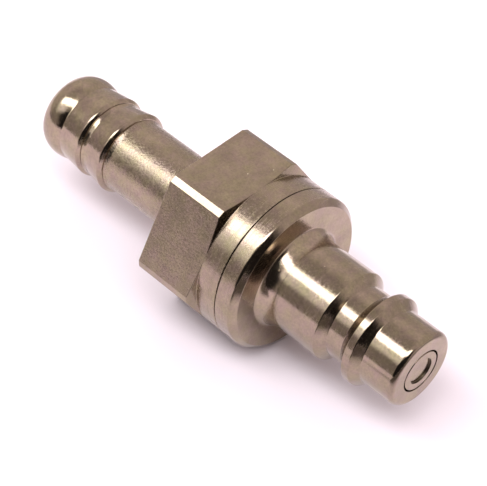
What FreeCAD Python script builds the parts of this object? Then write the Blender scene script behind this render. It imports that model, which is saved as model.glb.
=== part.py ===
"""Quick-release plug for an 8 mm water hose, with a self-closing valve in its nose.

Millimetres. The common axis is X: the hose tail points to -X and the nose to +X.
The origin is on the axis, half way along the plug.
The plug lies on one flat of the hexagon, so that flat faces -Z.
"""
import math
import os

import FreeCAD
import Part

# ---- hose tail: spanner hexagon and rear half of the collar ----
ACROSS_FLATS = 17.0
SHOULDER_X = 3.65
HEX_BACK = -3.35
HEX_CORNER_R = 9.6
HEX_BACK_CHAMFER_R = 9.0
HEX_BACK_CHAMFER_X = 0.2
HEX_FRONT_CHAMFER_X = 0.25
COLLAR_R = 8.5
SEAM_X = 6.11
SEAM_BREAK = 0.06

# ---- hose tail: barbed end ----
TIP_X = -24.75
BORE_R = 2.75
BORE_CHAMFER = 0.25
TIP_FLAT_R = 3.2
BULB_X = -22.75
BULB_R = 4.6
BULB_FOOT_X = -21.35
SADDLE_R = 4.3
CREST_R = 4.6
CREST_1_X = -18.55
CREST_2_X = -15.2
STEP_LENGTH = 0.42
EDGE_R = 0.12
SHANK_R = 4.05
SHANK_FILLET = 0.3

# ---- threaded joint between the two halves (thread drawn as a plain cylinder) ----
THREAD_R = 6.0
THREAD_END = -0.35
SOCKET_END = -0.95
SEAL_SEAT_X = 4.55
SEAL_SEAT_R = 6.6
SPIGOT_NECK_R = 5.4
SEAL_CORD_R = 0.6
LEAD_CHAMFER = 0.5

# ---- plug body outside ----
COLLAR_FRONT = 8.55
COLLAR_CHAMFER_X = 0.55
COLLAR_CHAMFER_R = 0.6
BARREL_R = 4.85
BARREL_FILLET = 0.95
BARREL_END = 15.6
BARREL_EDGE = 0.12
GROOVE_R = 3.93
GROOVE_START = 16.35
GROOVE_END = 18.22
RING_START = 19.2
RING_END = 20.0
RING_EDGE = 0.12
NOSE_R = 4.05
NOSE_START = 20.78
NOSE_END = 24.75
NOSE_EDGE_R = 0.55

# ---- plug body inside ----
NOSE_BORE_R = 2.25
NOSE_LIP = 1.0
CHAMBER_R = 3.0
GUIDE_SEAT_X = 13.15
GUIDE_BORE_R = 3.8
CLIP_GROOVE_R = 4.05
CLIP_X = 11.15
CLIP_THICKNESS = 0.8

# ---- valve ----
HEAD_R = 2.16
DIMPLE_R = 1.35
DIMPLE_DEPTH = 0.18
VALVE_SEAL_X = 23.2
VALVE_SEAL_CORD_R = 0.5
VALVE_NECK_R = 1.55
FLANGE_R = 2.45
FLANGE_LENGTH = 0.8
STEM_R = 1.0
STEM_END = 9.65
GUIDE_HUB_R = 1.9
GUIDE_HUB_END = 10.55
GUIDE_SHAFT_R = 1.06
GUIDE_THICKNESS = 1.2
GUIDE_SLOT_IN_R = 2.2
GUIDE_SLOT_OUT_R = 3.3
GUIDE_SLOT_ARC_DEG = 80.0
GUIDE_SLOTS = 3
CLIP_IN_R = 3.2
CLIP_GAP_DEG = 50.0

# ---- valve spring ----
SPRING_MEAN_R = 1.65
SPRING_WIRE_R = 0.2
SPRING_COILS = 7.5
SPRING_END_PLAY = 0.03

X_AXIS = FreeCAD.Vector(1, 0, 0)
ORIGIN = FreeCAD.Vector(0, 0, 0)


def on_profile(x, r):
    """A point of a turning profile: x along the axis, r out from it."""
    return FreeCAD.Vector(x, 0, r)


def line(start, end):
    return Part.makeLine(on_profile(*start), on_profile(*end))


def arc(start, middle, end):
    return Part.Arc(on_profile(*start), on_profile(*middle), on_profile(*end)).toShape()


def rounded_corner(centre, radius, from_deg, to_deg):
    """An arc about centre, with its ends and middle worked out from two angles."""
    points = []
    for angle in (from_deg, (from_deg + to_deg) / 2.0, to_deg):
        turn = math.radians(angle)
        points.append((centre[0] + radius * math.cos(turn), centre[1] + radius * math.sin(turn)))
    return points


def turned(path):
    """Revolve a closed path. Each entry is a point (x, r) or an arc (start, middle, end)."""
    edges = []
    last = None
    first = None
    for entry in path:
        is_arc = isinstance(entry[0], tuple)
        start = entry[0] if is_arc else entry
        if last is not None and math.dist(last, start) > 1e-7:
            edges.append(line(last, start))
        if is_arc:
            edges.append(arc(*entry))
            last = entry[2]
        else:
            last = entry
        if first is None:
            first = start
    if math.dist(last, first) > 1e-7:
        edges.append(line(last, first))
    face = Part.Face(Part.Wire(edges))
    solid = face.revolve(ORIGIN, X_AXIS, 360)
    return solid.Solids[0] if solid.Solids else Part.Solid(solid)


def rod(start_x, end_x, radius):
    return Part.makeCylinder(radius, end_x - start_x, on_profile(start_x, 0), X_AXIS)


def tube(start_x, end_x, outer_r, inner_r):
    return rod(start_x, end_x, outer_r).cut(rod(start_x, end_x, inner_r))


def cord_ring(x, ring_r, cord_r):
    """An O-ring of round cord about the axis."""
    return Part.makeTorus(ring_r, cord_r, on_profile(x, 0), X_AXIS)


def sector(start_x, end_x, inner_r, outer_r, from_deg, sweep_deg):
    """A slice of a tube, used for slots and gaps."""
    slice_face = tube(start_x, end_x, outer_r, inner_r)
    wedge = Part.makeCylinder(outer_r * 2, end_x - start_x, on_profile(start_x, 0), X_AXIS, sweep_deg)
    wedge.rotate(ORIGIN, X_AXIS, from_deg)
    return slice_face.common(wedge)


# ---------------------------------------------------------------- hose tail

def barb_profile():
    """Outside of the barbed end, from the tip to the back of the hexagon."""
    bulb_rise = BULB_R - TIP_FLAT_R
    tip_r = bulb_rise * 0.86
    tip_centre = (TIP_X + tip_r, TIP_FLAT_R)
    tip_arc = rounded_corner(tip_centre, tip_r, 180, 118)
    bulb_left = tip_arc[2]
    bulb_middle = ((bulb_left[0] + BULB_X) / 2.0, bulb_left[1] + (BULB_R - bulb_left[1]) * 0.76)
    foot_1 = CREST_1_X + STEP_LENGTH
    foot_2 = CREST_2_X + STEP_LENGTH
    path = [tuple(tip_arc)]
    path.append((bulb_left, bulb_middle, (BULB_X, BULB_R)))
    path.append(((BULB_X, BULB_R), ((BULB_X + BULB_FOOT_X) / 2.0, BULB_R - 0.075), (BULB_FOOT_X, SADDLE_R)))
    path.append((CREST_1_X - EDGE_R, CREST_R))
    path.append((CREST_1_X, CREST_R))
    path.append((CREST_1_X + EDGE_R, CREST_R - EDGE_R))
    path.append((foot_1, SADDLE_R - 0.05))
    path.append((foot_1 + 0.25, SADDLE_R - 0.08))
    path.append((CREST_2_X - EDGE_R, CREST_R))
    path.append((CREST_2_X, CREST_R))
    path.append((CREST_2_X + EDGE_R, CREST_R - EDGE_R))
    path.append((foot_2, SHANK_R))
    path.append((HEX_BACK - SHANK_FILLET, SHANK_R))
    path.append((HEX_BACK, SHANK_R + SHANK_FILLET))
    return path


def spanner_hexagon():
    """Hexagonal bar with turned corners, one flat facing -Z."""
    corner_r = ACROSS_FLATS / math.sqrt(3.0)
    points = []
    for index in range(7):
        turn = math.radians(60 * index)
        points.append(FreeCAD.Vector(HEX_BACK, corner_r * math.cos(turn), corner_r * math.sin(turn)))
    bar = Part.Face(Part.makePolygon(points)).extrude(FreeCAD.Vector(SHOULDER_X - HEX_BACK, 0, 0))
    turned_corners = turned([
        (HEX_BACK, 0.0),
        (HEX_BACK, HEX_BACK_CHAMFER_R),
        (HEX_BACK + HEX_BACK_CHAMFER_X, HEX_CORNER_R),
        (SHOULDER_X - HEX_FRONT_CHAMFER_X, HEX_CORNER_R),
        (SHOULDER_X, COLLAR_R),
        (SHOULDER_X, 0.0),
    ])
    return bar.common(turned_corners)


def hose_tail():
    outside = [(TIP_X, BORE_R)] + barb_profile() + [(HEX_BACK, BORE_R)]
    barbed_end = turned(outside)
    collar = turned([
        (HEX_BACK, 0.0),
        (HEX_BACK, SHANK_R),
        (SHOULDER_X - HEX_FRONT_CHAMFER_X, SHANK_R),
        (SHOULDER_X - HEX_FRONT_CHAMFER_X, COLLAR_R - SEAM_BREAK),
        (SHOULDER_X, COLLAR_R),
        (SEAM_X - SEAM_BREAK, COLLAR_R),
        (SEAM_X, COLLAR_R - SEAM_BREAK),
        (SEAM_X, 0.0),
    ])
    head = spanner_hexagon().fuse(collar).fuse(barbed_end).removeSplitter()
    bore = rod(TIP_X, SOCKET_END, BORE_R)
    bore_mouth = turned([
        (TIP_X, 0.0),
        (TIP_X, BORE_R + BORE_CHAMFER),
        (TIP_X + BORE_CHAMFER, BORE_R),
        (TIP_X + BORE_CHAMFER, 0.0),
    ])
    socket = rod(SOCKET_END, SEAM_X, THREAD_R)
    seal_seat = rod(SEAL_SEAT_X, SEAM_X, SEAL_SEAT_R)
    return head.cut(bore.fuse(socket).fuse(seal_seat).fuse(bore_mouth)).removeSplitter()


# ---------------------------------------------------------------- plug body

def collar_front_profile():
    """Front half of the collar and the fillet down to the barrel."""
    fillet_centre = (COLLAR_FRONT + BARREL_FILLET, BARREL_R + BARREL_FILLET)
    return [
        (SEAM_X, COLLAR_R - SEAM_BREAK),
        (SEAM_X + SEAM_BREAK, COLLAR_R),
        (COLLAR_FRONT - COLLAR_CHAMFER_X, COLLAR_R),
        (COLLAR_FRONT, COLLAR_R - COLLAR_CHAMFER_R),
        tuple(rounded_corner(fillet_centre, BARREL_FILLET, 180, 270)),
    ]


def barrel_and_nose_profile():
    """Barrel, locking groove, locking ring and nose."""
    nose_centre = (NOSE_END - NOSE_EDGE_R, NOSE_R - NOSE_EDGE_R)
    return [
        (BARREL_END - BARREL_EDGE, BARREL_R),
        (BARREL_END, BARREL_R - BARREL_EDGE),
        (GROOVE_START, GROOVE_R),
        (GROOVE_END, GROOVE_R),
        (RING_START - RING_EDGE, BARREL_R - RING_EDGE),
        (RING_START, BARREL_R),
        (RING_END, BARREL_R),
        (RING_END + RING_EDGE, BARREL_R - RING_EDGE),
        (NOSE_START, NOSE_R),
        tuple(rounded_corner(nose_centre, NOSE_EDGE_R, 90, 0)),
    ]


def valve_seat_profile():
    """Inside of the body, from the nose back to the threaded end."""
    lip_end = NOSE_END - NOSE_LIP
    seat_end = lip_end - (CHAMBER_R - NOSE_BORE_R)
    clip_start = CLIP_X
    clip_end = CLIP_X + CLIP_THICKNESS
    return [
        (NOSE_END, NOSE_BORE_R),
        (lip_end, NOSE_BORE_R),
        (seat_end, CHAMBER_R),
        (GUIDE_SEAT_X, CHAMBER_R),
        (GUIDE_SEAT_X, GUIDE_BORE_R),
        (clip_end, GUIDE_BORE_R),
        (clip_end, CLIP_GROOVE_R),
        (clip_start, CLIP_GROOVE_R),
        (clip_start, GUIDE_BORE_R),
        (THREAD_END, GUIDE_BORE_R),
    ]


def spigot_profile():
    """Threaded spigot that screws into the hose tail, with the neck for its seal."""
    return [
        (THREAD_END, THREAD_R - LEAD_CHAMFER),
        (THREAD_END + LEAD_CHAMFER, THREAD_R),
        (SEAL_SEAT_X, THREAD_R),
        (SEAL_SEAT_X, SPIGOT_NECK_R),
        (SEAM_X, SPIGOT_NECK_R),
    ]


def plug_body():
    return turned(spigot_profile() + collar_front_profile() + barrel_and_nose_profile() + valve_seat_profile())


def joint_seal():
    """O-ring squeezed between the spigot neck and the hose tail."""
    x = (SEAL_SEAT_X + SEAM_X) / 2.0
    return cord_ring(x, SPIGOT_NECK_R + SEAL_CORD_R, SEAL_CORD_R)


# ---------------------------------------------------------------- valve

def valve_poppet():
    """Flush head with a shallow dimple, seal neck, flange and guide stem in one turned piece."""
    neck_front = VALVE_SEAL_X + VALVE_SEAL_CORD_R
    neck_back = VALVE_SEAL_X - VALVE_SEAL_CORD_R
    flange_back = neck_back - FLANGE_LENGTH
    dimple_depth = on_profile(NOSE_END - DIMPLE_DEPTH, 0)
    body = turned([
        (STEM_END, 0.0),
        (STEM_END, STEM_R - 0.2),
        (STEM_END + 0.2, STEM_R),
        (flange_back, STEM_R),
        (flange_back, FLANGE_R),
        (neck_back, FLANGE_R),
        (neck_back, VALVE_NECK_R),
        (neck_front, VALVE_NECK_R),
        (neck_front, HEAD_R),
        (NOSE_END - 0.08, HEAD_R),
        (NOSE_END, HEAD_R - 0.08),
        (NOSE_END, 0.0),
    ])
    return body.cut(Part.makeCylinder(DIMPLE_R, 1.0, dimple_depth, X_AXIS))


def poppet_seal():
    return cord_ring(VALVE_SEAL_X, VALVE_NECK_R + VALVE_SEAL_CORD_R, VALVE_SEAL_CORD_R)


def valve_guide():
    """Disc with three flow slots and a long hub that the stem slides in."""
    disc_back = GUIDE_SEAT_X - GUIDE_THICKNESS
    disc = rod(disc_back, GUIDE_SEAT_X, GUIDE_BORE_R - 0.02)
    hub = rod(GUIDE_HUB_END, GUIDE_SEAT_X, GUIDE_HUB_R)
    guide = disc.fuse(hub).removeSplitter().cut(rod(GUIDE_HUB_END, GUIDE_SEAT_X, GUIDE_SHAFT_R))
    for index in range(GUIDE_SLOTS):
        start_deg = 360.0 / GUIDE_SLOTS * index
        slot = sector(disc_back, GUIDE_SEAT_X, GUIDE_SLOT_IN_R, GUIDE_SLOT_OUT_R, start_deg, GUIDE_SLOT_ARC_DEG)
        guide = guide.cut(slot)
    return guide


def guide_circlip():
    """Open snap ring that holds the guide in the body."""
    clip = tube(CLIP_X, CLIP_X + CLIP_THICKNESS, CLIP_GROOVE_R, CLIP_IN_R)
    gap = sector(CLIP_X, CLIP_X + CLIP_THICKNESS, CLIP_IN_R - 0.5, CLIP_GROOVE_R + 0.5,
                 -CLIP_GAP_DEG / 2.0, CLIP_GAP_DEG)
    return clip.cut(gap)


def valve_spring():
    """Open-coiled spring between the guide and the poppet's flange."""
    spring_back = GUIDE_SEAT_X + SPRING_WIRE_R
    flange_back = VALVE_SEAL_X - VALVE_SEAL_CORD_R - FLANGE_LENGTH
    spring_front = flange_back - SPRING_WIRE_R - SPRING_END_PLAY
    length = spring_front - spring_back
    helix = Part.makeHelix(length / SPRING_COILS, length, SPRING_MEAN_R)
    wire_end = Part.makeCircle(SPRING_WIRE_R, FreeCAD.Vector(SPRING_MEAN_R, 0, 0), FreeCAD.Vector(0, 1, 0))
    coil = Part.Wire(helix).makePipeShell([Part.Wire(wire_end)], True, True)
    coil.rotate(ORIGIN, FreeCAD.Vector(0, 1, 0), 90)
    coil.translate(on_profile(spring_back, 0))
    return coil.Solids[0] if coil.Solids else coil


NODES = {
    "hose_tail": hose_tail,
    "plug_body": plug_body,
    "joint_seal": joint_seal,
    "valve_poppet": valve_poppet,
    "poppet_seal": poppet_seal,
    "valve_guide": valve_guide,
    "guide_circlip": guide_circlip,
    "valve_spring": valve_spring,
}

os.makedirs("parts", exist_ok=True)
for node_name, make in NODES.items():
    make().exportStep("parts/%s.step" % node_name)
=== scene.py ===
"""Quick-release hose plug: its looks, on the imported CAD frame.

Lengths are in millimetres unless a name ends in _M, and angles in degrees where a name ends in _DEG.
An outline is a list of (x, r) points: x along the plug's axis, from hose to nose, and r out from it.
"""
import math

import bpy
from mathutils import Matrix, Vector


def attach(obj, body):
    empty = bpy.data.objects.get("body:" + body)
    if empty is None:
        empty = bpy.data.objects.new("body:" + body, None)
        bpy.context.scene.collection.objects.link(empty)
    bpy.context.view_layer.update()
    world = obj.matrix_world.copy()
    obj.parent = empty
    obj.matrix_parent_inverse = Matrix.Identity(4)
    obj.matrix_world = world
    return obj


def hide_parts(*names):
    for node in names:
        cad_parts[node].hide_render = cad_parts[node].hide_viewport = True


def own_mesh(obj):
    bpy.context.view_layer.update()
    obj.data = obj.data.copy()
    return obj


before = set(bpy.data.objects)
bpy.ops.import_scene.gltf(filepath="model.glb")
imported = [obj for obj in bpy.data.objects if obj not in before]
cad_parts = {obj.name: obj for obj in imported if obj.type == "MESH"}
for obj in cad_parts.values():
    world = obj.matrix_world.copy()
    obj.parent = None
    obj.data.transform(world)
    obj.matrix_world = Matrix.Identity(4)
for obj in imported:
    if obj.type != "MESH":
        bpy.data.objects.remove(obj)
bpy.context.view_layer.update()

MM = 0.001
TINY = 0.01  # margin for telling which side of an edge a point is on

# ---------------------------------------------------------------- outlines

ARC_STEP_DEG = 8.0
LONGEST_TRIM = 0.48  # of the shorter side at a corner
STRAIGHT = 1e-3


def corner_arc(before, corner, after, radius):
    """Points of a fillet at a corner of an outline."""
    bx, br = before[0] - corner[0], before[1] - corner[1]
    ax, ar = after[0] - corner[0], after[1] - corner[1]
    lb, la = math.hypot(bx, br), math.hypot(ax, ar)
    bx, br, ax, ar = bx / lb, br / lb, ax / la, ar / la
    opening = math.acos(max(-1.0, min(1.0, bx * ax + br * ar)))
    if opening > math.pi - STRAIGHT:
        return [(corner[0], corner[1])]
    trim = radius / math.tan(opening / 2)
    limit = LONGEST_TRIM * min(la, lb)
    if trim > limit:
        trim = limit
        radius = trim * math.tan(opening / 2)
    mx, mr = bx + ax, br + ar
    reach = radius / math.sin(opening / 2) / math.hypot(mx, mr)
    cx, cr = corner[0] + mx * reach, corner[1] + mr * reach
    start = math.atan2(corner[1] + br * trim - cr, corner[0] + bx * trim - cx)
    end = math.atan2(corner[1] + ar * trim - cr, corner[0] + ax * trim - cx)
    sweep = (end - start + math.pi) % (2 * math.pi) - math.pi
    count = max(2, math.ceil(abs(math.degrees(sweep)) / ARC_STEP_DEG))
    turns = [start + sweep * i / count for i in range(count + 1)]
    return [(cx + radius * math.cos(turn), cr + radius * math.sin(turn)) for turn in turns]


def rounded(corners):
    """A closed outline from corners (x, r) or (x, r, fillet radius)."""
    points = []
    for i, corner in enumerate(corners):
        if len(corner) > 2:
            after = corners[(i + 1) % len(corners)]
            points += corner_arc(corners[i - 1], corner, after, corner[2])
        else:
            points.append(corner)
    return points


def ellipse_arc(centre, half_x, half_r, from_deg, to_deg, count):
    points = []
    for i in range(count + 1):
        turn = math.radians(from_deg + (to_deg - from_deg) * i / count)
        points.append((centre[0] + half_x * math.cos(turn), centre[1] + half_r * math.sin(turn)))
    return points


# ---------------------------------------------------------------- hexagon cross-section

HALF_FLATS = 8.5
CORNER_R = 9.6
CORNER_BLEND = 0.14
HEX_BACK = -3.35
SHOULDER = 3.65
FLAT_STEPS, BLEND_STEPS, LAND_STEPS = 22, 5, 3
FLATS = 6
HALF_SIDE = math.pi / FLATS
FIRST_FLAT_DEG = -90

blend_axis_r = HALF_FLATS - CORNER_BLEND
blend_side = math.sqrt((CORNER_R - CORNER_BLEND) ** 2 - blend_axis_r ** 2)
FLAT_END = math.atan2(blend_side, HALF_FLATS)
LAND_START = math.atan2(blend_side, blend_axis_r)


def hex_radius(offset):
    """Radius of the hexagon at an angle from the middle of a flat, up to HALF_SIDE either way."""
    offset = abs(offset)
    if offset <= FLAT_END:
        return HALF_FLATS / math.cos(offset)
    if offset >= LAND_START:
        return CORNER_R
    across = blend_axis_r * math.cos(offset) + blend_side * math.sin(offset)
    return across + math.sqrt(across ** 2 - (blend_axis_r ** 2 + blend_side ** 2 - CORNER_BLEND ** 2))


def hex_columns():
    """(angle about X, angle from the middle of the nearest flat), once round."""
    half = [0.0]
    for start, end, steps in ((0.0, FLAT_END, FLAT_STEPS), (FLAT_END, LAND_START, BLEND_STEPS),
                              (LAND_START, HALF_SIDE, LAND_STEPS)):
        half += [start + (end - start) * i / steps for i in range(1, steps + 1)]
    offsets = [-a for a in reversed(half[1:-1])] + half
    columns = []
    for flat in range(FLATS):
        middle = math.radians(FIRST_FLAT_DEG + 360 / FLATS * flat)
        columns += [(middle + a, a) for a in offsets]
    return columns


# ---------------------------------------------------------------- turned meshes

ROUND_STEPS = 300
ROUND = [(2 * math.pi * i / ROUND_STEPS, 0.0) for i in range(ROUND_STEPS)]
SAME_POINT = 1e-6
ON_AXIS_M = 1e-9


def turned_mesh(name, outline, columns, spans, finishes):
    """A closed mesh round the X axis. outline(offset) gives the points at a column, always the same
    number of them, and spans gives the finish from each point to the next. Points on the axis are
    shared by all columns, and points that fall together in a column become one."""
    rows = [outline(offset) for _, offset in columns]
    count = len(rows[0])
    slots = [finishes.index(finish) for finish in spans]
    verts, faces, face_slots = [], [], []
    index = []
    for (turn, _), row in zip(columns, rows):
        ids = []
        for i, (x, r) in enumerate(row):
            if r == 0 and index:
                ids.append(index[0][i])
            elif i and math.dist(row[i - 1], (x, r)) < SAME_POINT:
                ids.append(ids[-1])
            else:
                ids.append(len(verts))
                verts.append((x * MM, r * math.cos(turn) * MM, r * math.sin(turn) * MM))
        index.append(ids)
    for c, here in enumerate(index):
        there = index[(c + 1) % len(index)]
        for i in range(count):
            j = (i + 1) % count
            loop = list(dict.fromkeys((here[i], there[i], there[j], here[j])))
            if len(loop) > 2:
                faces.append(loop)
                face_slots.append(slots[i])
    mesh = bpy.data.meshes.new(name)
    mesh.from_pydata(verts, [], faces)
    mesh.validate()
    mesh.polygons.foreach_set("material_index", face_slots)
    mesh.polygons.foreach_set("use_smooth", [True] * len(faces))
    mesh.update()
    for finish in finishes:
        mesh.materials.append(finish)
    return mesh


def shade(mesh, is_turned=lambda face: True):
    """Custom normals: the mean of the faces at each vertex, by area. A turned face's normal is carried
    round the axis to each of its vertices, so long faces and thin fillets shade as true surfaces."""
    total = [Vector((0, 0, 0)) for _ in mesh.vertices]
    for face in mesh.polygons:
        normal, centre = face.normal, face.center
        turned = is_turned(face)
        centre_turn = math.atan2(centre.z, centre.y)
        radial = Vector((0, math.cos(centre_turn), math.sin(centre_turn)))
        along, out = normal.x, normal.dot(radial)
        for v in face.vertices:
            if turned:
                co = mesh.vertices[v].co
                size = max(math.hypot(co.y, co.z), ON_AXIS_M)
                total[v] += Vector((along, out * co.y / size, out * co.z / size)) * face.area
            else:
                total[v] += normal * face.area
    mesh.normals_split_custom_set_from_vertices([n.normalized() for n in total])


def place(name, mesh, body, node):
    """Stand a finished mesh in for a CAD node."""
    piece = bpy.data.objects.new(name, mesh)
    bpy.context.scene.collection.objects.link(piece)
    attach(piece, body)
    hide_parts(node)
    return piece


# ---------------------------------------------------------------- materials

NOISE_LOW, NOISE_HIGH = 0.3, 0.7  # where most of a noise lies
BROAD_PER_MM, CAST_PER_MM, LATHE_PER_MM = 0.45, 0.9, 2.6
CAST_SEED = 3.7
CAST_LOW, CAST_HIGH = 0.35, 0.65
PIT_SPACING, PIT_SIZE, PIT_DEPTH, PIT_SHARE = 1.6, 0.11, 0.05, 0.3
PIT_FLOOR = 0.4  # of a pit's radius
YELLOWER = (0.318, 0.268, 0.182)
PINKER = (0.318, 0.246, 0.204)


def nodes_of(material):
    material.use_nodes = True
    tree = material.node_tree
    return tree, tree.nodes["Principled BSDF"]


def add(tree, kind, inputs=None, **settings):
    """A new node. An input that is a socket is linked, and any other is set."""
    node = tree.nodes.new(kind)
    for key, value in settings.items():
        setattr(node, key, value)
    for key, value in (inputs or {}).items():
        if isinstance(value, bpy.types.NodeSocket):
            tree.links.new(value, node.inputs[key])
        else:
            node.inputs[key].default_value = value
    return node


def stretch(tree, noise, low, high):
    """Spread a noise over a range."""
    return add(tree, "ShaderNodeMapRange", {
        "Value": noise.outputs["Fac"], "From Min": NOISE_LOW, "From Max": NOISE_HIGH,
        "To Min": low, "To Max": high}).outputs[0]


def lit(colour, level):
    return tuple(c * level for c in colour) + (1.0,)


def nickel(name, roughness, spread, grain, grain_size, level, blotch=0.05, lathe=0.0):
    """Nickel plate. roughness and spread set its gloss and how much that varies from spot to spot,
    grain is the depth of its fine texture and grain_size its scale, level how light it is, blotch how
    much that varies, and lathe how much the gloss varies from one turning mark to the next."""
    material = bpy.data.materials.new(name)
    tree, shader = nodes_of(material)
    where = add(tree, "ShaderNodeTexCoord").outputs["Object"]
    mm = add(tree, "ShaderNodeVectorMath", {0: where, 1: (1 / MM,) * 3}, operation="MULTIPLY").outputs[0]

    broad = add(tree, "ShaderNodeTexNoise", {
        "Vector": mm, "Scale": BROAD_PER_MM, "Detail": 4.0, "Roughness": 0.6})
    cast = add(tree, "ShaderNodeTexNoise", {
        "Vector": mm, "Scale": CAST_PER_MM, "Detail": 3.0, "Roughness": 0.6}, noise_dimensions="4D")
    cast.inputs["W"].default_value = CAST_SEED
    fine = add(tree, "ShaderNodeTexNoise", {
        "Vector": mm, "Scale": 1 / grain_size, "Detail": 4.0, "Roughness": 0.65})

    hue = add(tree, "ShaderNodeMapRange", {
        "Value": cast.outputs["Fac"], "From Min": CAST_LOW, "From Max": CAST_HIGH})
    tint = add(tree, "ShaderNodeMix", {
        "Factor": hue.outputs[0], 6: lit(YELLOWER, level), 7: lit(PINKER, level)}, data_type="RGBA")
    tone = add(tree, "ShaderNodeMath", {
        0: stretch(tree, broad, 1 - blotch, 1 + blotch),
        1: stretch(tree, fine, 1 - blotch, 1 + blotch)}, operation="MULTIPLY")
    colour = add(tree, "ShaderNodeVectorMath", {
        0: tint.outputs[2], "Scale": tone.outputs[0]}, operation="SCALE")
    tree.links.new(colour.outputs[0], shader.inputs["Base Color"])

    gloss = stretch(tree, fine, roughness - spread, roughness + spread)
    if lathe:
        along = add(tree, "ShaderNodeSeparateXYZ", {0: mm}).outputs["X"]
        mark = add(tree, "ShaderNodeTexNoise", {
            "W": along, "Scale": LATHE_PER_MM, "Detail": 5.0, "Roughness": 0.75}, noise_dimensions="1D")
        gloss = add(tree, "ShaderNodeMath", {
            0: gloss, 1: stretch(tree, mark, -lathe, lathe)}, operation="ADD").outputs[0]
    tree.links.new(gloss, shader.inputs["Roughness"])

    cell = add(tree, "ShaderNodeTexVoronoi", {
        "Vector": mm, "Scale": 1 / PIT_SPACING, "Randomness": 1.0})
    nearby = add(tree, "ShaderNodeMapRange", {
        "Value": cell.outputs["Distance"], "From Min": PIT_SIZE / PIT_SPACING,
        "From Max": PIT_FLOOR * PIT_SIZE / PIT_SPACING})
    pick = add(tree, "ShaderNodeSeparateColor", {0: cell.outputs["Color"]}).outputs[0]
    chosen = add(tree, "ShaderNodeMath", {0: pick, 1: 1 - PIT_SHARE}, operation="GREATER_THAN")
    pit = add(tree, "ShaderNodeMath", {
        0: nearby.outputs[0], 1: chosen.outputs[0]}, operation="MULTIPLY").outputs[0]
    sunk = add(tree, "ShaderNodeMath", {
        0: pit, 1: -PIT_DEPTH / grain, 2: fine.outputs["Fac"]}, operation="MULTIPLY_ADD").outputs[0]
    bump = add(tree, "ShaderNodeBump", {"Strength": 1.0, "Distance": grain * MM, "Height": sunk})
    tree.links.new(bump.outputs[0], shader.inputs["Normal"])
    shader.inputs["Metallic"].default_value = 1.0
    return material


def speckled_grey(name, per_m, detail, dark, pale, depth, roughness, metallic=0.0):
    """A grey that varies from dark to pale with a fine noise, which also roughens it."""
    material = bpy.data.materials.new(name)
    tree, shader = nodes_of(material)
    where = add(tree, "ShaderNodeTexCoord").outputs["Object"]
    noise = add(tree, "ShaderNodeTexNoise", {"Vector": where, "Scale": per_m, "Detail": detail})
    speckle = noise.outputs["Fac"]
    tone = add(tree, "ShaderNodeMapRange", {
        "Value": speckle, "To Min": dark, "To Max": pale}).outputs[0]
    colour = add(tree, "ShaderNodeCombineColor", {0: tone, 1: tone, 2: tone})
    tree.links.new(colour.outputs[0], shader.inputs["Base Color"])
    bump = add(tree, "ShaderNodeBump", {"Distance": depth * MM, "Height": speckle})
    tree.links.new(bump.outputs[0], shader.inputs["Normal"])
    shader.inputs["Metallic"].default_value = metallic
    shader.inputs["Roughness"].default_value = roughness
    return material


# roughness, its spread, grain depth and size, and how light
TURNED = nickel("nickel_turned", 0.15, 0.05, 0.005, 0.26, 0.98, blotch=0.13, lathe=0.07)
COLLAR = nickel("nickel_collar", 0.23, 0.07, 0.01, 0.24, 1.02, blotch=0.14, lathe=0.07)
POLISHED = nickel("nickel_polished", 0.13, 0.05, 0.0045, 0.24, 0.96, blotch=0.13, lathe=0.06)
FACED = nickel("nickel_faced", 0.16, 0.05, 0.006, 0.26, 1.16, blotch=0.14)
FROSTED = nickel("nickel_frosted", 0.26, 0.09, 0.028, 0.24, 1.04, blotch=0.16)
SATIN = nickel("nickel_satin", 0.21, 0.06, 0.008, 0.22, 1.02, blotch=0.15)
BARBED = nickel("nickel_barbed", 0.13, 0.05, 0.009, 0.3, 1.06, blotch=0.14)
BORE = nickel("nickel_bore", 0.3, 0.05, 0.003, 0.15, 0.95, lathe=0.08)
# the dimple wall's finish is dark at level 0.3: painted shade in the recess
RECESS_PAINTED_SHADE = nickel("nickel_recess_painted_shade", 0.42, 0.06, 0.006, 0.2, 0.3, blotch=0.2)
RUBBER = speckled_grey("seal_rubber", 9000.0, 3.0, 0.012, 0.03, 0.004, 0.55)
STEEL = speckled_grey("spring_steel", 6000.0, 2.0, 0.48, 0.6, 0.002, 0.24, metallic=1.0)

# ---------------------------------------------------------------- screwed joint

SEAM = 6.11
SEAM_GAP = 0.045
SEAM_ROUND = 0.07
THREAD_R = 6.0
SEAL_SEAT_X, SEAL_SEAT_R = 4.55, 6.6
HIDDEN_ROUND = 0.05

# ---------------------------------------------------------------- hose tail

TIP = -24.75
TIP_FLAT_R = 3.25
BORE_R = 2.75
MOUTH_END = -24.4
BULB = -22.75
BULB_R = 4.6
BULB_FOOT_X, BULB_FOOT_R = -21.35, 4.3
TIP_STEPS, BULB_STEPS = 22, 9
CREST_R = 4.6
CREST_ROUND, GROOVE_ROUND = 0.28, 0.03
SHANK_R = 4.05
SHANK_START = -14.8
SOCKET_END = -0.95

# The hexagon's back edge, as shares of EDGE along and in.
EDGE = 0.08
EDGE_ROUND = ((0, 1), (0.08, 0.6), (0.29, 0.29), (0.6, 0.08), (1, 0))
CHAMFER_X = 0.25
BEVEL, FOOT = 0.06, 0.05
STEEPEST = 0.4  # the most of the chamfer's slope that a bevel or foot takes
SMALLEST_FOOT = 0.004
CHAMFER_SPANS = 5

# What tells the parts of the outline apart
TAIL_INSIDE_R = 3.0
COLLAR_LEAST_R = 8.0
HEX_LEAST_R = 7.0


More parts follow.
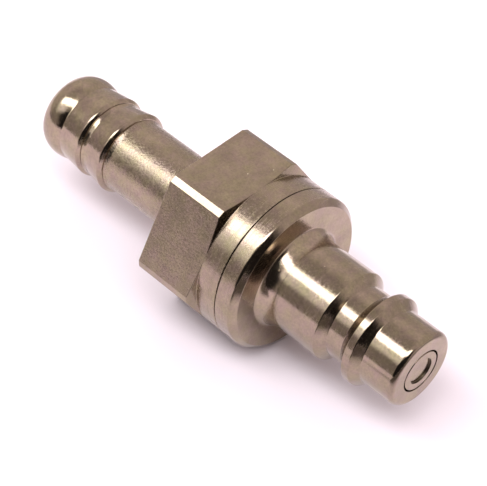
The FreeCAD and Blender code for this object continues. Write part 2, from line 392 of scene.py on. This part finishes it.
def barb_outline():
    """Points from the tip, over the barbs and shank, to the back of the hexagon."""
    tip = ellipse_arc((BULB, TIP_FLAT_R), BULB - TIP, BULB_R - TIP_FLAT_R, 180, 90, TIP_STEPS)
    drop, run = BULB_R - BULB_FOOT_R, BULB_FOOT_X - BULB
    bulb_r = (drop ** 2 + run ** 2) / (2 * drop)
    end_turn = math.asin(run / bulb_r)
    turns = [end_turn * i / BULB_STEPS for i in range(1, BULB_STEPS)]
    down = [(BULB + bulb_r * math.sin(t), BULB_R - bulb_r * (1 - math.cos(t))) for t in turns]
    rest = rounded([
        down[-1],
        (BULB_FOOT_X, BULB_FOOT_R, 0.3),
        (-18.52, CREST_R, CREST_ROUND),
        (-18.24, 4.32, GROOVE_ROUND),
        (-18.18, 4.17, GROOVE_ROUND),
        (-18.09, 4.29, 0.04),
        (-17.72, 4.2, 0.7),
        (-15.2, CREST_R + 0.02, CREST_ROUND),
        (-14.9, 4.27, GROOVE_ROUND),
        (-14.84, 4.09, GROOVE_ROUND),
        (-14.75, 4.19, 0.04),
        (-14.4, SHANK_R, 0.5),
        (HEX_BACK, SHANK_R, 0.3),
        (HEX_BACK, 6.0),
    ])
    return tip + down[:-1] + rest


BARB_POINTS = barb_outline()
MOUTH_POINTS = rounded([
    (MOUTH_END, BORE_R),
    (-24.5, BORE_R, 0.05),
    (TIP, 3.0, 0.06),
    (TIP, TIP_FLAT_R),
])
TURNED_POINTS = MOUTH_POINTS + BARB_POINTS
SEAM_POINTS = rounded([
    (SHOULDER + 0.5, HALF_FLATS),
    (SEAM - SEAM_GAP, HALF_FLATS, SEAM_ROUND),
    (SEAM - SEAM_GAP, SEAL_SEAT_R, HIDDEN_ROUND),
    (SEAL_SEAT_X, SEAL_SEAT_R, HIDDEN_ROUND),
    (SEAL_SEAT_X, THREAD_R, HIDDEN_ROUND),
    (SOCKET_END, THREAD_R, HIDDEN_ROUND),
    (SOCKET_END, BORE_R, HIDDEN_ROUND),
    (MOUTH_END, BORE_R),
])[1:-1]


def tail_outline(offset):
    """The whole outline, at an angle from the middle of a flat. Only the hexagon depends on it."""
    edge_r = hex_radius(offset)
    share = (edge_r - HALF_FLATS) / (CORNER_R - HALF_FLATS)
    front = SHOULDER - CHAMFER_X * share
    slope = math.hypot(CHAMFER_X, CORNER_R - HALF_FLATS)
    slope_x, slope_r = CHAMFER_X / slope, (CORNER_R - HALF_FLATS) / slope
    bevel = min(BEVEL, STEEPEST * slope * share)
    foot = min(FOOT, STEEPEST * slope * share)
    head = [(HEX_BACK + EDGE * along, edge_r - EDGE * inward) for along, inward in EDGE_ROUND]
    # The bevel at the chamfer's top and the foot at its bottom are rounded by a point within each.
    head += [
        (front - bevel, edge_r),
        (front - bevel * 0.35, edge_r - bevel * 0.12),
        (front + bevel * slope_x * 0.5, edge_r - bevel * slope_r * 0.5),
        (front + bevel * slope_x, edge_r - bevel * slope_r),
        (SHOULDER - foot * slope_x, HALF_FLATS + foot * slope_r),
        (SHOULDER + foot * 0.25, HALF_FLATS + foot * 0.25),
        (SHOULDER + max(foot, SMALLEST_FOOT), HALF_FLATS),
    ]
    return TURNED_POINTS + head + SEAM_POINTS


def tail_spans():
    hex_start = len(TURNED_POINTS) - 1
    chamfer_start = len(TURNED_POINTS) + len(EDGE_ROUND)
    chamfer_end = chamfer_start + CHAMFER_SPANS
    spans = []
    for i, (x, r) in enumerate(tail_outline(0.0)):
        if i < len(MOUTH_POINTS) - 2 or r < TAIL_INSIDE_R:
            spans.append(BORE)
        elif i < hex_start:
            spans.append(FROSTED if x > SHANK_START else BARBED)
        elif i < chamfer_start:
            spans.append(SATIN)
        elif i < chamfer_end:
            spans.append(POLISHED)
        else:
            spans.append(COLLAR if r > COLLAR_LEAST_R else BORE)
    return spans


def outside_hexagon(face):
    x, r = face.center.x / MM, math.hypot(face.center.y, face.center.z) / MM
    return not (HEX_BACK - TINY < x < SHOULDER and r > HEX_LEAST_R)


tail_mesh = turned_mesh("hose_tail_skin", tail_outline, hex_columns(), tail_spans(),
                        [BARBED, FROSTED, SATIN, COLLAR, BORE, POLISHED])
shade(tail_mesh, outside_hexagon)
place("hose_tail_skin", tail_mesh, "shell", "hose_tail")

# ---------------------------------------------------------------- plug body

COLLAR_FRONT = 8.55
COLLAR_EDGE_START = COLLAR_FRONT - 0.75
BARREL_R = 4.85
FILLET_X, FILLET_R = 1.65, 0.85
FILLET_STEPS = 18
GROOVE_R = 3.93
NOSE_R = 4.05
NOSE_START = 20.5
NOSE_END = 24.75
NOSE_RIM = 0.1
NOSE_HOLE_R = 2.32
CHAMBER_R = 3.0
GUIDE_SEAT_X = 13.15
GUIDE_BORE_R = 3.8
CLIP_FROM, CLIP_TO, CLIP_R = 11.15, 11.95, 4.05
CLIP_ROUND = 0.02
SPIGOT_BACK = -0.35
SPIGOT_NECK_R = 5.4
COLLAR_INSIDE_R = 7.5
# The body's hollows and spigot: nearer the axis than r, as far forward as x
BODY_INSIDE = ((3.05, NOSE_END), (4.2, 13.3), (6.7, 6.5))

body_points = rounded([
    (SEAM + SEAM_GAP, HALF_FLATS, SEAM_ROUND),
    (COLLAR_FRONT - 0.55, HALF_FLATS, 0.4),
    (COLLAR_FRONT, HALF_FLATS - 0.6, 0.12),
    *ellipse_arc((COLLAR_FRONT + FILLET_X, BARREL_R + FILLET_R), FILLET_X, FILLET_R,
                 180, 270, FILLET_STEPS),
    (15.6, BARREL_R, 0.12),
    (16.35, GROOVE_R, 0.12),
    (18.22, GROOVE_R, 0.15),
    (19.2, BARREL_R, 0.15),
    (20.0, BARREL_R, 0.15),
    (20.78, NOSE_R, 0.15),
    (NOSE_END, NOSE_R, 0.55),
    (NOSE_END, NOSE_HOLE_R, 0.04),
    (23.75, NOSE_HOLE_R, HIDDEN_ROUND),
    (23.0, CHAMBER_R, HIDDEN_ROUND),
    (GUIDE_SEAT_X, CHAMBER_R, HIDDEN_ROUND),
    (GUIDE_SEAT_X, GUIDE_BORE_R, HIDDEN_ROUND),
    (CLIP_TO, GUIDE_BORE_R, CLIP_ROUND),
    (CLIP_TO, CLIP_R, CLIP_ROUND),
    (CLIP_FROM, CLIP_R, CLIP_ROUND),
    (CLIP_FROM, GUIDE_BORE_R, CLIP_ROUND),
    (SPIGOT_BACK, GUIDE_BORE_R, HIDDEN_ROUND),
    (SPIGOT_BACK, 5.5, 0.1),
    (0.15, THREAD_R, 0.1),
    (SEAL_SEAT_X, THREAD_R, HIDDEN_ROUND),
    (SEAL_SEAT_X, SPIGOT_NECK_R, HIDDEN_ROUND),
    (SEAM + SEAM_GAP, SPIGOT_NECK_R, HIDDEN_ROUND),
])


def body_finish(x, r):
    """Finish of the body from a point of its outline to the next."""
    if x > NOSE_START:
        return FACED if x > NOSE_END - NOSE_RIM else POLISHED
    if COLLAR_FRONT - TINY < x < COLLAR_FRONT + FILLET_X - TINY:
        return FACED
    if r > COLLAR_INSIDE_R:
        return COLLAR if x < COLLAR_EDGE_START else POLISHED
    if any(r < inside_r and x < inside_x for inside_r, inside_x in BODY_INSIDE):
        return BORE
    return TURNED


body_mesh = turned_mesh("plug_body_skin", lambda offset: body_points, ROUND,
                        [body_finish(x, r) for x, r in body_points],
                        [TURNED, POLISHED, BORE, FACED, COLLAR])
shade(body_mesh)
place("plug_body_skin", body_mesh, "shell", "plug_body")

# ---------------------------------------------------------------- valve

STEM_BACK, STEM_R = 9.65, 1.0
FLANGE_BACK, FLANGE_FRONT, FLANGE_R = 21.9, 22.7, 2.45
VALVE_NECK_R = 1.55
HEAD_BACK, HEAD_R = 23.7, 2.16
DIMPLE_R, DIMPLE_FLOOR_R, DIMPLE_DEPTH = 1.42, 1.39, 0.22
DIMPLE_WALL_LEAST_R = 1.3
VALVE_ROUND, DIMPLE_ROUND = 0.08, 0.03

poppet_points = rounded([
    (STEM_BACK, 0),
    (STEM_BACK, STEM_R, 0.2),
    (FLANGE_BACK, STEM_R, 0.1),
    (FLANGE_BACK, FLANGE_R, VALVE_ROUND),
    (FLANGE_FRONT, FLANGE_R, VALVE_ROUND),
    (FLANGE_FRONT, VALVE_NECK_R, VALVE_ROUND),
    (HEAD_BACK, VALVE_NECK_R, VALVE_ROUND),
    (HEAD_BACK, HEAD_R, 0.05),
    (NOSE_END, HEAD_R, VALVE_ROUND),
    (NOSE_END, DIMPLE_R, DIMPLE_ROUND),
    (NOSE_END - DIMPLE_DEPTH, DIMPLE_FLOOR_R, DIMPLE_ROUND),
    (NOSE_END - DIMPLE_DEPTH, 0),
])


# The dimple wall takes the darkened finish, which is painted shade in the recess.
def poppet_finish(x, r):
    on_wall = DIMPLE_WALL_LEAST_R < r < DIMPLE_R + TINY and x > NOSE_END - DIMPLE_DEPTH + TINY
    return RECESS_PAINTED_SHADE if on_wall else FACED


poppet_mesh = turned_mesh("valve_poppet_skin", lambda offset: poppet_points, ROUND[::3],
                          [poppet_finish(x, r) for x, r in poppet_points], [FACED, RECESS_PAINTED_SHADE])
shade(poppet_mesh)
place("valve_poppet_skin", poppet_mesh, "valve", "valve_poppet")

# ---------------------------------------------------------------- CAD pieces that stay

for node, material in (("valve_guide", BORE), ("joint_seal", RUBBER), ("poppet_seal", RUBBER),
                       ("guide_circlip", STEEL)):
    cad_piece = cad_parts[node]
    cad_piece.data.materials.clear()
    cad_piece.data.materials.append(material)

# ---------------------------------------------------------------- spring

SPRING_R = 1.65
WIRE_R = 0.2
SPRING_TURNS = 7.5
SPRING_STEPS = 300
SPRING_PLAY = 0.03

spring_space = FLANGE_BACK - GUIDE_SEAT_X
spring_curve = bpy.data.curves.new("valve_spring_skin", "CURVE")
spring_curve.dimensions = "3D"
spring_curve.bevel_depth = WIRE_R * MM
spring_curve.bevel_resolution = 4
spring_curve.use_fill_caps = True
strand = spring_curve.splines.new("POLY")
strand.points.add(SPRING_STEPS)
for i in range(SPRING_STEPS + 1):
    share = i / SPRING_STEPS
    coil_turn = 2 * math.pi * SPRING_TURNS * share - math.pi / 2
    coil_x = GUIDE_SEAT_X + WIRE_R + (spring_space - 2 * WIRE_R - SPRING_PLAY) * share
    strand.points[i].co = (coil_x * MM, SPRING_R * math.cos(coil_turn) * MM,
                           SPRING_R * math.sin(coil_turn) * MM, 1)
spring_holder = bpy.data.objects.new("spring_holder", spring_curve)
bpy.context.scene.collection.objects.link(spring_holder)
bpy.context.view_layer.update()
spring_mesh = bpy.data.meshes.new_from_object(
    spring_holder.evaluated_get(bpy.context.evaluated_depsgraph_get()))
bpy.data.objects.remove(spring_holder)
spring_mesh.name = "valve_spring_skin"
spring_mesh.materials.clear()
spring_mesh.materials.append(STEEL)
spring_mesh.polygons.foreach_set("use_smooth", [True] * len(spring_mesh.polygons))
spring = place("valve_spring_skin", spring_mesh, "shell", "valve_spring")
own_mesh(spring)

# ---------------------------------------------------------------- floor

FLOOR_HALF_M = 12.0
FLOOR_GAP_M = 0.00002
FLOOR_Z_M = -HALF_FLATS * MM - FLOOR_GAP_M
PAPER = (0.86, 0.785, 0.86, 1)
MATT = 0.9


def on_stage(name, verts, faces, material_name):
    """A flat matt object that isn't part of the plug."""
    mesh = bpy.data.meshes.new(name)
    mesh.from_pydata(verts, [], faces)
    thing = bpy.data.objects.new(name, mesh)
    bpy.context.scene.collection.objects.link(thing)
    material = bpy.data.materials.new(material_name)
    tree, shader = nodes_of(material)
    shader.inputs["Roughness"].default_value = MATT
    shader.inputs["Specular IOR Level"].default_value = 0.0
    mesh.materials.append(material)
    return thing, tree, shader


floor_corners = [(sx * FLOOR_HALF_M, sy * FLOOR_HALF_M, FLOOR_Z_M)
                 for sx, sy in ((-1, -1), (1, -1), (1, 1), (-1, 1))]
_, _, paper = on_stage("floor", floor_corners, [(0, 1, 2, 3)], "floor_paper")
paper.inputs["Base Color"].default_value = PAPER

# A dark sheet on the plug's nose side and far side, which only mirror reflections meet: it paints
# dark reflections into the metal. It fades in over the first ring, and is paler away from the camera.
SHEET_FROM, SHEET_TO = math.radians(-85), math.radians(150)
SHEET_RINGS_M = (0.032, 0.055, 1.5)
SHEET_STEPS = 48
SHEET_LIFT_M = 0.00001
SHEET_PALE_FROM_M = 0.05
DARK_REFLECTED, PALE_REFLECTED = (0.12, 0.105, 0.1, 1), (0.42, 0.38, 0.39, 1)

sheet_verts, sheet_faces = [], []
for i in range(SHEET_STEPS + 1):
    spoke = SHEET_FROM + (SHEET_TO - SHEET_FROM) * i / SHEET_STEPS
    sheet_verts += [(r * math.cos(spoke), r * math.sin(spoke), FLOOR_Z_M + SHEET_LIFT_M)
                    for r in SHEET_RINGS_M]
    if i:
        sheet_faces += [(k - 3, k - 2, k + 1, k) for k in (3 * i, 3 * i + 1)]
# A painted reflection: this sheet is hidden from all but mirror rays, and only darkens the metal's
# reflections.
reflection_sheet, sheet_tree, sheet_shader = on_stage("dark_reflection_sheet", sheet_verts, sheet_faces, "dark_reflection_sheet_paint")
reflection_sheet.visible_camera = reflection_sheet.visible_diffuse = False
reflection_sheet.visible_shadow = reflection_sheet.visible_transmission = False
spot = add(sheet_tree, "ShaderNodeTexCoord").outputs["Object"]
far = add(sheet_tree, "ShaderNodeVectorMath", {0: spot}, operation="LENGTH").outputs["Value"]
cover = add(sheet_tree, "ShaderNodeMapRange", {
    "Value": far, "From Min": SHEET_RINGS_M[0], "From Max": SHEET_RINGS_M[1]})
sheet_tree.links.new(cover.outputs[0], sheet_shader.inputs["Alpha"])
# The painted reflection is paler towards +Y, away from the camera.
sideways = add(sheet_tree, "ShaderNodeSeparateXYZ", {0: spot}).outputs["Y"]
paler_away = add(sheet_tree, "ShaderNodeMapRange", {
    "Value": sideways, "From Min": 0.0, "From Max": SHEET_PALE_FROM_M})
sheet_colour = add(sheet_tree, "ShaderNodeMix", {
    "Factor": paler_away.outputs[0], 6: DARK_REFLECTED, 7: PALE_REFLECTED}, data_type="RGBA")
sheet_tree.links.new(sheet_colour.outputs[2], sheet_shader.inputs["Base Color"])

# ---------------------------------------------------------------- studio light

world = bpy.data.worlds.new("studio")
bpy.context.scene.world = world
world.use_nodes = True
sky = world.node_tree
sky.nodes.clear()
direction = add(sky, "ShaderNodeTexCoord").outputs["Generated"]


def compass(azimuth_deg, elevation_deg):
    """Unit vector: azimuth from +X towards +Y, elevation above the floor."""
    a, e = math.radians(azimuth_deg), math.radians(elevation_deg)
    return Vector((math.cos(a) * math.cos(e), math.sin(a) * math.cos(e), math.sin(e)))


def panel(middle, run, halves_deg, softs_deg):
    """A soft-edged rectangle in the sky, 1 inside it and 0 outside. Its half sizes and the softness
    of its edges are along run and then square to it."""
    side = (run - middle * run.dot(middle)).normalized()
    ahead = add(sky, "ShaderNodeVectorMath", {
        0: direction, 1: middle}, operation="DOT_PRODUCT").outputs["Value"]
    shares = []
    for axis, half, soft in zip((side, middle.cross(side)), halves_deg, softs_deg):
        offset = add(sky, "ShaderNodeVectorMath", {
            0: direction, 1: axis}, operation="DOT_PRODUCT").outputs["Value"]
        angle = add(sky, "ShaderNodeMath", {0: offset, 1: ahead}, operation="ARCTAN2").outputs[0]
        size = add(sky, "ShaderNodeMath", {0: angle}, operation="ABSOLUTE").outputs[0]
        edge = add(sky, "ShaderNodeMapRange", {
            "Value": size, "From Min": math.radians(half - soft), "From Max": math.radians(half + soft),
            "To Min": 1.0, "To Max": 0.0}, interpolation_type="SMOOTHSTEP")
        shares.append(edge.outputs[0])
    return add(sky, "ShaderNodeMath", {0: shares[0], 1: shares[1]}, operation="MULTIPLY").outputs[0]


UP, ALONG = Vector((0, 0, 1)), Vector((1, 0, 0))
WARM_GREY = (1.0, 0.875, 0.83)
SKY_LEVEL = 0.82
BACKDROP = (0.98, 0.96, 0.99, 1)
GLOW_MIDDLE = Vector((-0.6, -0.85, 1.0)).normalized()
TUBE_MIDDLE = Vector((0.0, -0.348, 1.0)).normalized()
TUBE_RUN = Vector((1.0, 0.215, 0.0)).normalized()

# Each part of the sky lies over the ones before it.
SKY_PARTS = (
    # a lighter wall, across the plug from the camera
    (compass(136, 47), UP, (18, 18), (9, 9), WARM_GREY, 1.0),
    # a duller wall, low on the camera's side of the hose end
    (compass(-122, 14), UP, (22, 26), (10, 8), WARM_GREY, 0.47),
    # the dark room under the camera, which gives the black bands
    (compass(-50, 26), UP, (30, 52), (7, 9), WARM_GREY, 0.025),
    # a duller ceiling over the hose end
    (compass(175, 66), ALONG, (14, 22), (8, 12), WARM_GREY, 0.6),
    # a glow under the tube
    (GLOW_MIDDLE, TUBE_RUN, (17, 13), (6, 6), (1.0, 0.98, 0.92), 1.65),
    # the long soft tube above the plug
    (TUBE_MIDDLE, TUBE_RUN, (39.5, 9.5), (2.5, 2.5), (1.0, 1.0, 1.0), 6.5),
)

light = lit(WARM_GREY, SKY_LEVEL)
for middle, run, halves, softs, colour, level in SKY_PARTS:
    light = add(sky, "ShaderNodeMix", {
        "Factor": panel(middle, run, halves, softs), 6: light, 7: lit(colour, level)},
        data_type="RGBA").outputs[2]

room = add(sky, "ShaderNodeBackground", {"Color": light, "Strength": 1.0})
backdrop = add(sky, "ShaderNodeBackground", {"Color": BACKDROP, "Strength": 1.0})
seen = add(sky, "ShaderNodeLightPath").outputs["Is Camera Ray"]
both = add(sky, "ShaderNodeMixShader", {0: seen, 1: room.outputs[0], 2: backdrop.outputs[0]})
add(sky, "ShaderNodeOutputWorld", {"Surface": both.outputs[0]})

# A broad soft lamp that brightens the floor. The metal doesn't mirror it.
FILL_LEVEL, FILL_WIDTH_DEG = 0.9, 120
FILL_FROM = compass(60, 80)

fill = bpy.data.lights.new("fill", "SUN")
fill.energy = FILL_LEVEL
fill.angle = math.radians(FILL_WIDTH_DEG)
fill_lamp = bpy.data.objects.new("fill", fill)
bpy.context.scene.collection.objects.link(fill_lamp)
fill_lamp.rotation_mode = "QUATERNION"
fill_lamp.rotation_quaternion = FILL_FROM.to_track_quat("Z", "Y")
fill_lamp.visible_glossy = False

# ---------------------------------------------------------------- camera

VIEW_AZIMUTH_DEG = 45.72
VIEW_ELEVATION_DEG = 47.06
VIEW_DISTANCE_M = 0.17569
LOOK_AT_M = Vector((0.001308, 0.000078, -0.000821))
LENS, SENSOR_WIDTH = 131.65, 36.0
NEAREST_M, FARTHEST_M = 0.01, 50.0

camera_data = bpy.data.cameras.new("camera")
camera_data.sensor_width = SENSOR_WIDTH
camera_data.lens = LENS
camera_data.clip_start = NEAREST_M
camera_data.clip_end = FARTHEST_M
camera = bpy.data.objects.new("camera", camera_data)
bpy.context.scene.collection.objects.link(camera)
swing, rise = math.radians(VIEW_AZIMUTH_DEG), math.radians(VIEW_ELEVATION_DEG)
back = Vector((math.sin(swing) * math.cos(rise), -math.cos(swing) * math.cos(rise), math.sin(rise)))
camera.location = LOOK_AT_M + back * VIEW_DISTANCE_M
camera.rotation_mode = "QUATERNION"
camera.rotation_quaternion = back.to_track_quat("Z", "Y")
bpy.context.scene.camera = camera
bpy.context.scene.view_settings.view_transform = "Standard"
